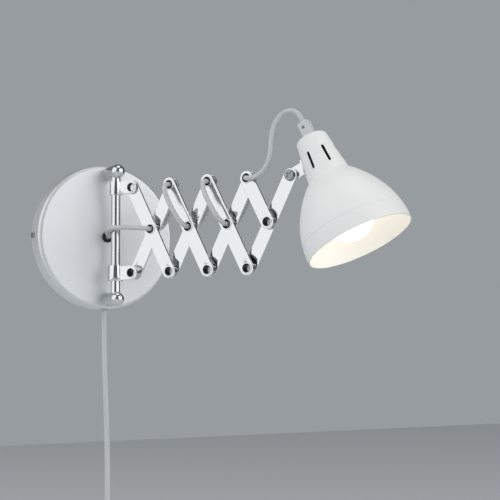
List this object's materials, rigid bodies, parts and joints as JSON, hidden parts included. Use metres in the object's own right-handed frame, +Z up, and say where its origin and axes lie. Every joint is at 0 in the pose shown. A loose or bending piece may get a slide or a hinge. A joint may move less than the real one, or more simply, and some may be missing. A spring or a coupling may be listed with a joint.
{
  "type": "swing arm wall lamp",
  "caption": "Wall lamp: a round canopy carries a rod on which a scissor arm swings and extends, with a bell shade that tilts at its end and a plug-in cord.",
  "frame": {"origin": "middle of the wall bracket's back, on the wall, which is also the middle of the canopy's back", "axes": "+Y into the wall, +Z up, +X to the right of someone who faces the wall; the lamp stands out along -Y"},
  "size_m": [0.2586, 0.3003, 0.5959],
  "materials": {
    "satin_nickel": "satin plated, fine grain",
    "chrome": "bright chrome plate",
    "plated_steel": "zinc plated",
    "white_paint": "satin white stove enamel",
    "clear_cord": "translucent grey soft plastic over two conductors",
    "grip_plastic": "translucent grey moulding",
    "white_plastic": "plain white moulding",
    "black_plastic": "moulded black phenolic",
    "switch_plastic": "light grey moulding",
    "dark_rubber": "moulded black rubber",
    "tie_plastic": "black strap",
    "brass": "bright brass",
    "cap_metal": "bare aluminium",
    "bulb_glass": "frosted, lit warm white",
    "grey_fibre": "fibre friction washer"
  },
  "bodies": {
    "wall_unit": {"wall_bracket": "plated_steel", "canopy": "satin_nickel", "canopy_screws": "satin_nickel", "terminal_block": "white_plastic", "terminal_screws": "brass", "upper_post": "chrome", "lower_post": "chrome", "post_screws": "plated_steel", "arm_cord_bush": "dark_rubber", "mains_bush": "dark_rubber", "arm_cord_tail": "clear_cord", "arm_cord_inlet": "clear_cord", "mains_cord": "clear_cord", "switch_body": "switch_plastic", "mains_coil": "clear_cord", "cord_tie": "tie_plastic", "plug_body": "switch_plastic", "plug_pins": "brass"},
    "swing_rod": {"rod": "chrome", "upper_clamp": "chrome"},
    "front_link_1": {"front_link_1": "chrome", "front_rivets_1": "chrome", "link_spacers_1": "chrome"},
    "rear_link_1": {"rear_link_1": "chrome", "arm_cord_rear_1": "clear_cord"},
    "front_link_2": {"front_link_2": "chrome", "front_rivets_2": "chrome", "link_spacers_2": "chrome", "arm_cord_front_2": "clear_cord"},
    "rear_link_2": {"rear_link_2": "chrome", "arm_cord_rear_2": "clear_cord"},
    "front_link_3": {"front_link_3": "chrome", "front_rivets_3": "chrome", "link_spacers_3": "chrome", "arm_cord_front_3": "clear_cord"},
    "rear_link_3": {"rear_link_3": "chrome", "arm_cord_rear_3": "clear_cord"},
    "front_link_4": {"front_link_4": "chrome", "front_rivets_4": "chrome", "link_spacers_4": "chrome"},
    "rear_link_4": {"rear_link_4": "chrome", "joint_screw": "chrome", "joint_washer": "grey_fibre", "joint_nut": "chrome"},
    "lower_clamp": {"lower_clamp": "chrome", "lower_clamp_rivet": "chrome", "lower_clamp_bush": "chrome"},
    "lamp_head": {"head_bracket": "chrome", "shade": "white_paint", "cord_grip": "grip_plastic", "grip_screw": "plated_steel", "grip_nut": "plated_steel", "lamp_holder": "black_plastic", "bulb_cap": "cap_metal", "bulb_glass": "bulb_glass", "arm_cord_lamp": "clear_cord"},
    "switch_rocker": {"switch_rocker": "switch_plastic"}
  },
  "joints": [
    {"name": "arm_swing", "type": "hinge", "parent": "wall_unit", "child": "swing_rod", "pos_m": [0, -0.0398, 0], "axis": [0, 0, 1], "range_deg": [-110, 49], "deforming": ["arm_cord_inlet"]},
    {"name": "arm_extend", "type": "hinge", "parent": "swing_rod", "child": "front_link_1", "pos_m": [0.0123, -0.05507, 0.04467], "axis": [-0.8616, -0.5075, 0], "range_deg": [-10, 49], "deforming": ["arm_cord_inlet", "arm_cord_lamp"]},
    {"name": "cross_1", "type": "hinge", "parent": "front_link_1", "child": "rear_link_1", "pos_m": [0.02292, -0.07309, 0.00398], "axis": [-0.8616, -0.5075, 0], "range_deg": [-98, 20]},
    {"name": "lower_clamp_pivot", "type": "hinge", "parent": "rear_link_1", "child": "lower_clamp", "pos_m": [0.0123, -0.05507, -0.03671], "axis": [-0.8616, -0.5075, 0], "range_deg": [-10, 49]},
    {"name": "top_pivot_2", "type": "hinge", "parent": "rear_link_1", "child": "front_link_2", "pos_m": [0.03353, -0.09111, 0.04467], "axis": [-0.8616, -0.5075, 0], "range_deg": [-20, 98]},
    {"name": "cross_2", "type": "hinge", "parent": "front_link_2", "child": "rear_link_2", "pos_m": [0.04414, -0.10912, 0.00398], "axis": [-0.8616, -0.5075, 0], "range_deg": [-98, 20]},
    {"name": "top_pivot_3", "type": "hinge", "parent": "rear_link_2", "child": "front_link_3", "pos_m": [0.05476, -0.12714, 0.04467], "axis": [-0.8616, -0.5075, 0], "range_deg": [-20, 98]},
    {"name": "cross_3", "type": "hinge", "parent": "front_link_3", "child": "rear_link_3", "pos_m": [0.06537, -0.14516, 0.00398], "axis": [-0.8616, -0.5075, 0], "range_deg": [-98, 20]},
    {"name": "top_pivot_4", "type": "hinge", "parent": "rear_link_3", "child": "front_link_4", "pos_m": [0.07598, -0.16318, 0.04467], "axis": [-0.8616, -0.5075, 0], "range_deg": [-20, 98]},
    {"name": "cross_4", "type": "hinge", "parent": "front_link_4", "child": "rear_link_4", "pos_m": [0.0866, -0.1812, 0.00398], "axis": [-0.8616, -0.5075, 0], "range_deg": [-98, 20]},
    {"name": "head_tilt", "type": "hinge", "parent": "rear_link_4", "child": "lamp_head", "pos_m": [0.10152, -0.19668, 0.04467], "axis": [-0.8616, -0.5075, 0], "range_deg": [-30, 60], "deforming": ["arm_cord_lamp"]},
    {"name": "rocker", "type": "hinge", "parent": "wall_unit", "child": "switch_rocker", "pos_m": [0.0045, -0.0175, -0.295], "axis": [1, 0, 0], "range_deg": [-16, 0]}
  ],
  "couplings": [
    {"joint": "cross_1", "follows": "arm_extend", "ratio": -2},
    {"joint": "lower_clamp_pivot", "follows": "arm_extend", "ratio": 1},
    {"joint": "top_pivot_2", "follows": "arm_extend", "ratio": 2},
    {"joint": "cross_2", "follows": "arm_extend", "ratio": -2},
    {"joint": "top_pivot_3", "follows": "arm_extend", "ratio": 2},
    {"joint": "cross_3", "follows": "arm_extend", "ratio": -2},
    {"joint": "top_pivot_4", "follows": "arm_extend", "ratio": 2},
    {"joint": "cross_4", "follows": "arm_extend", "ratio": -2}
  ]
}
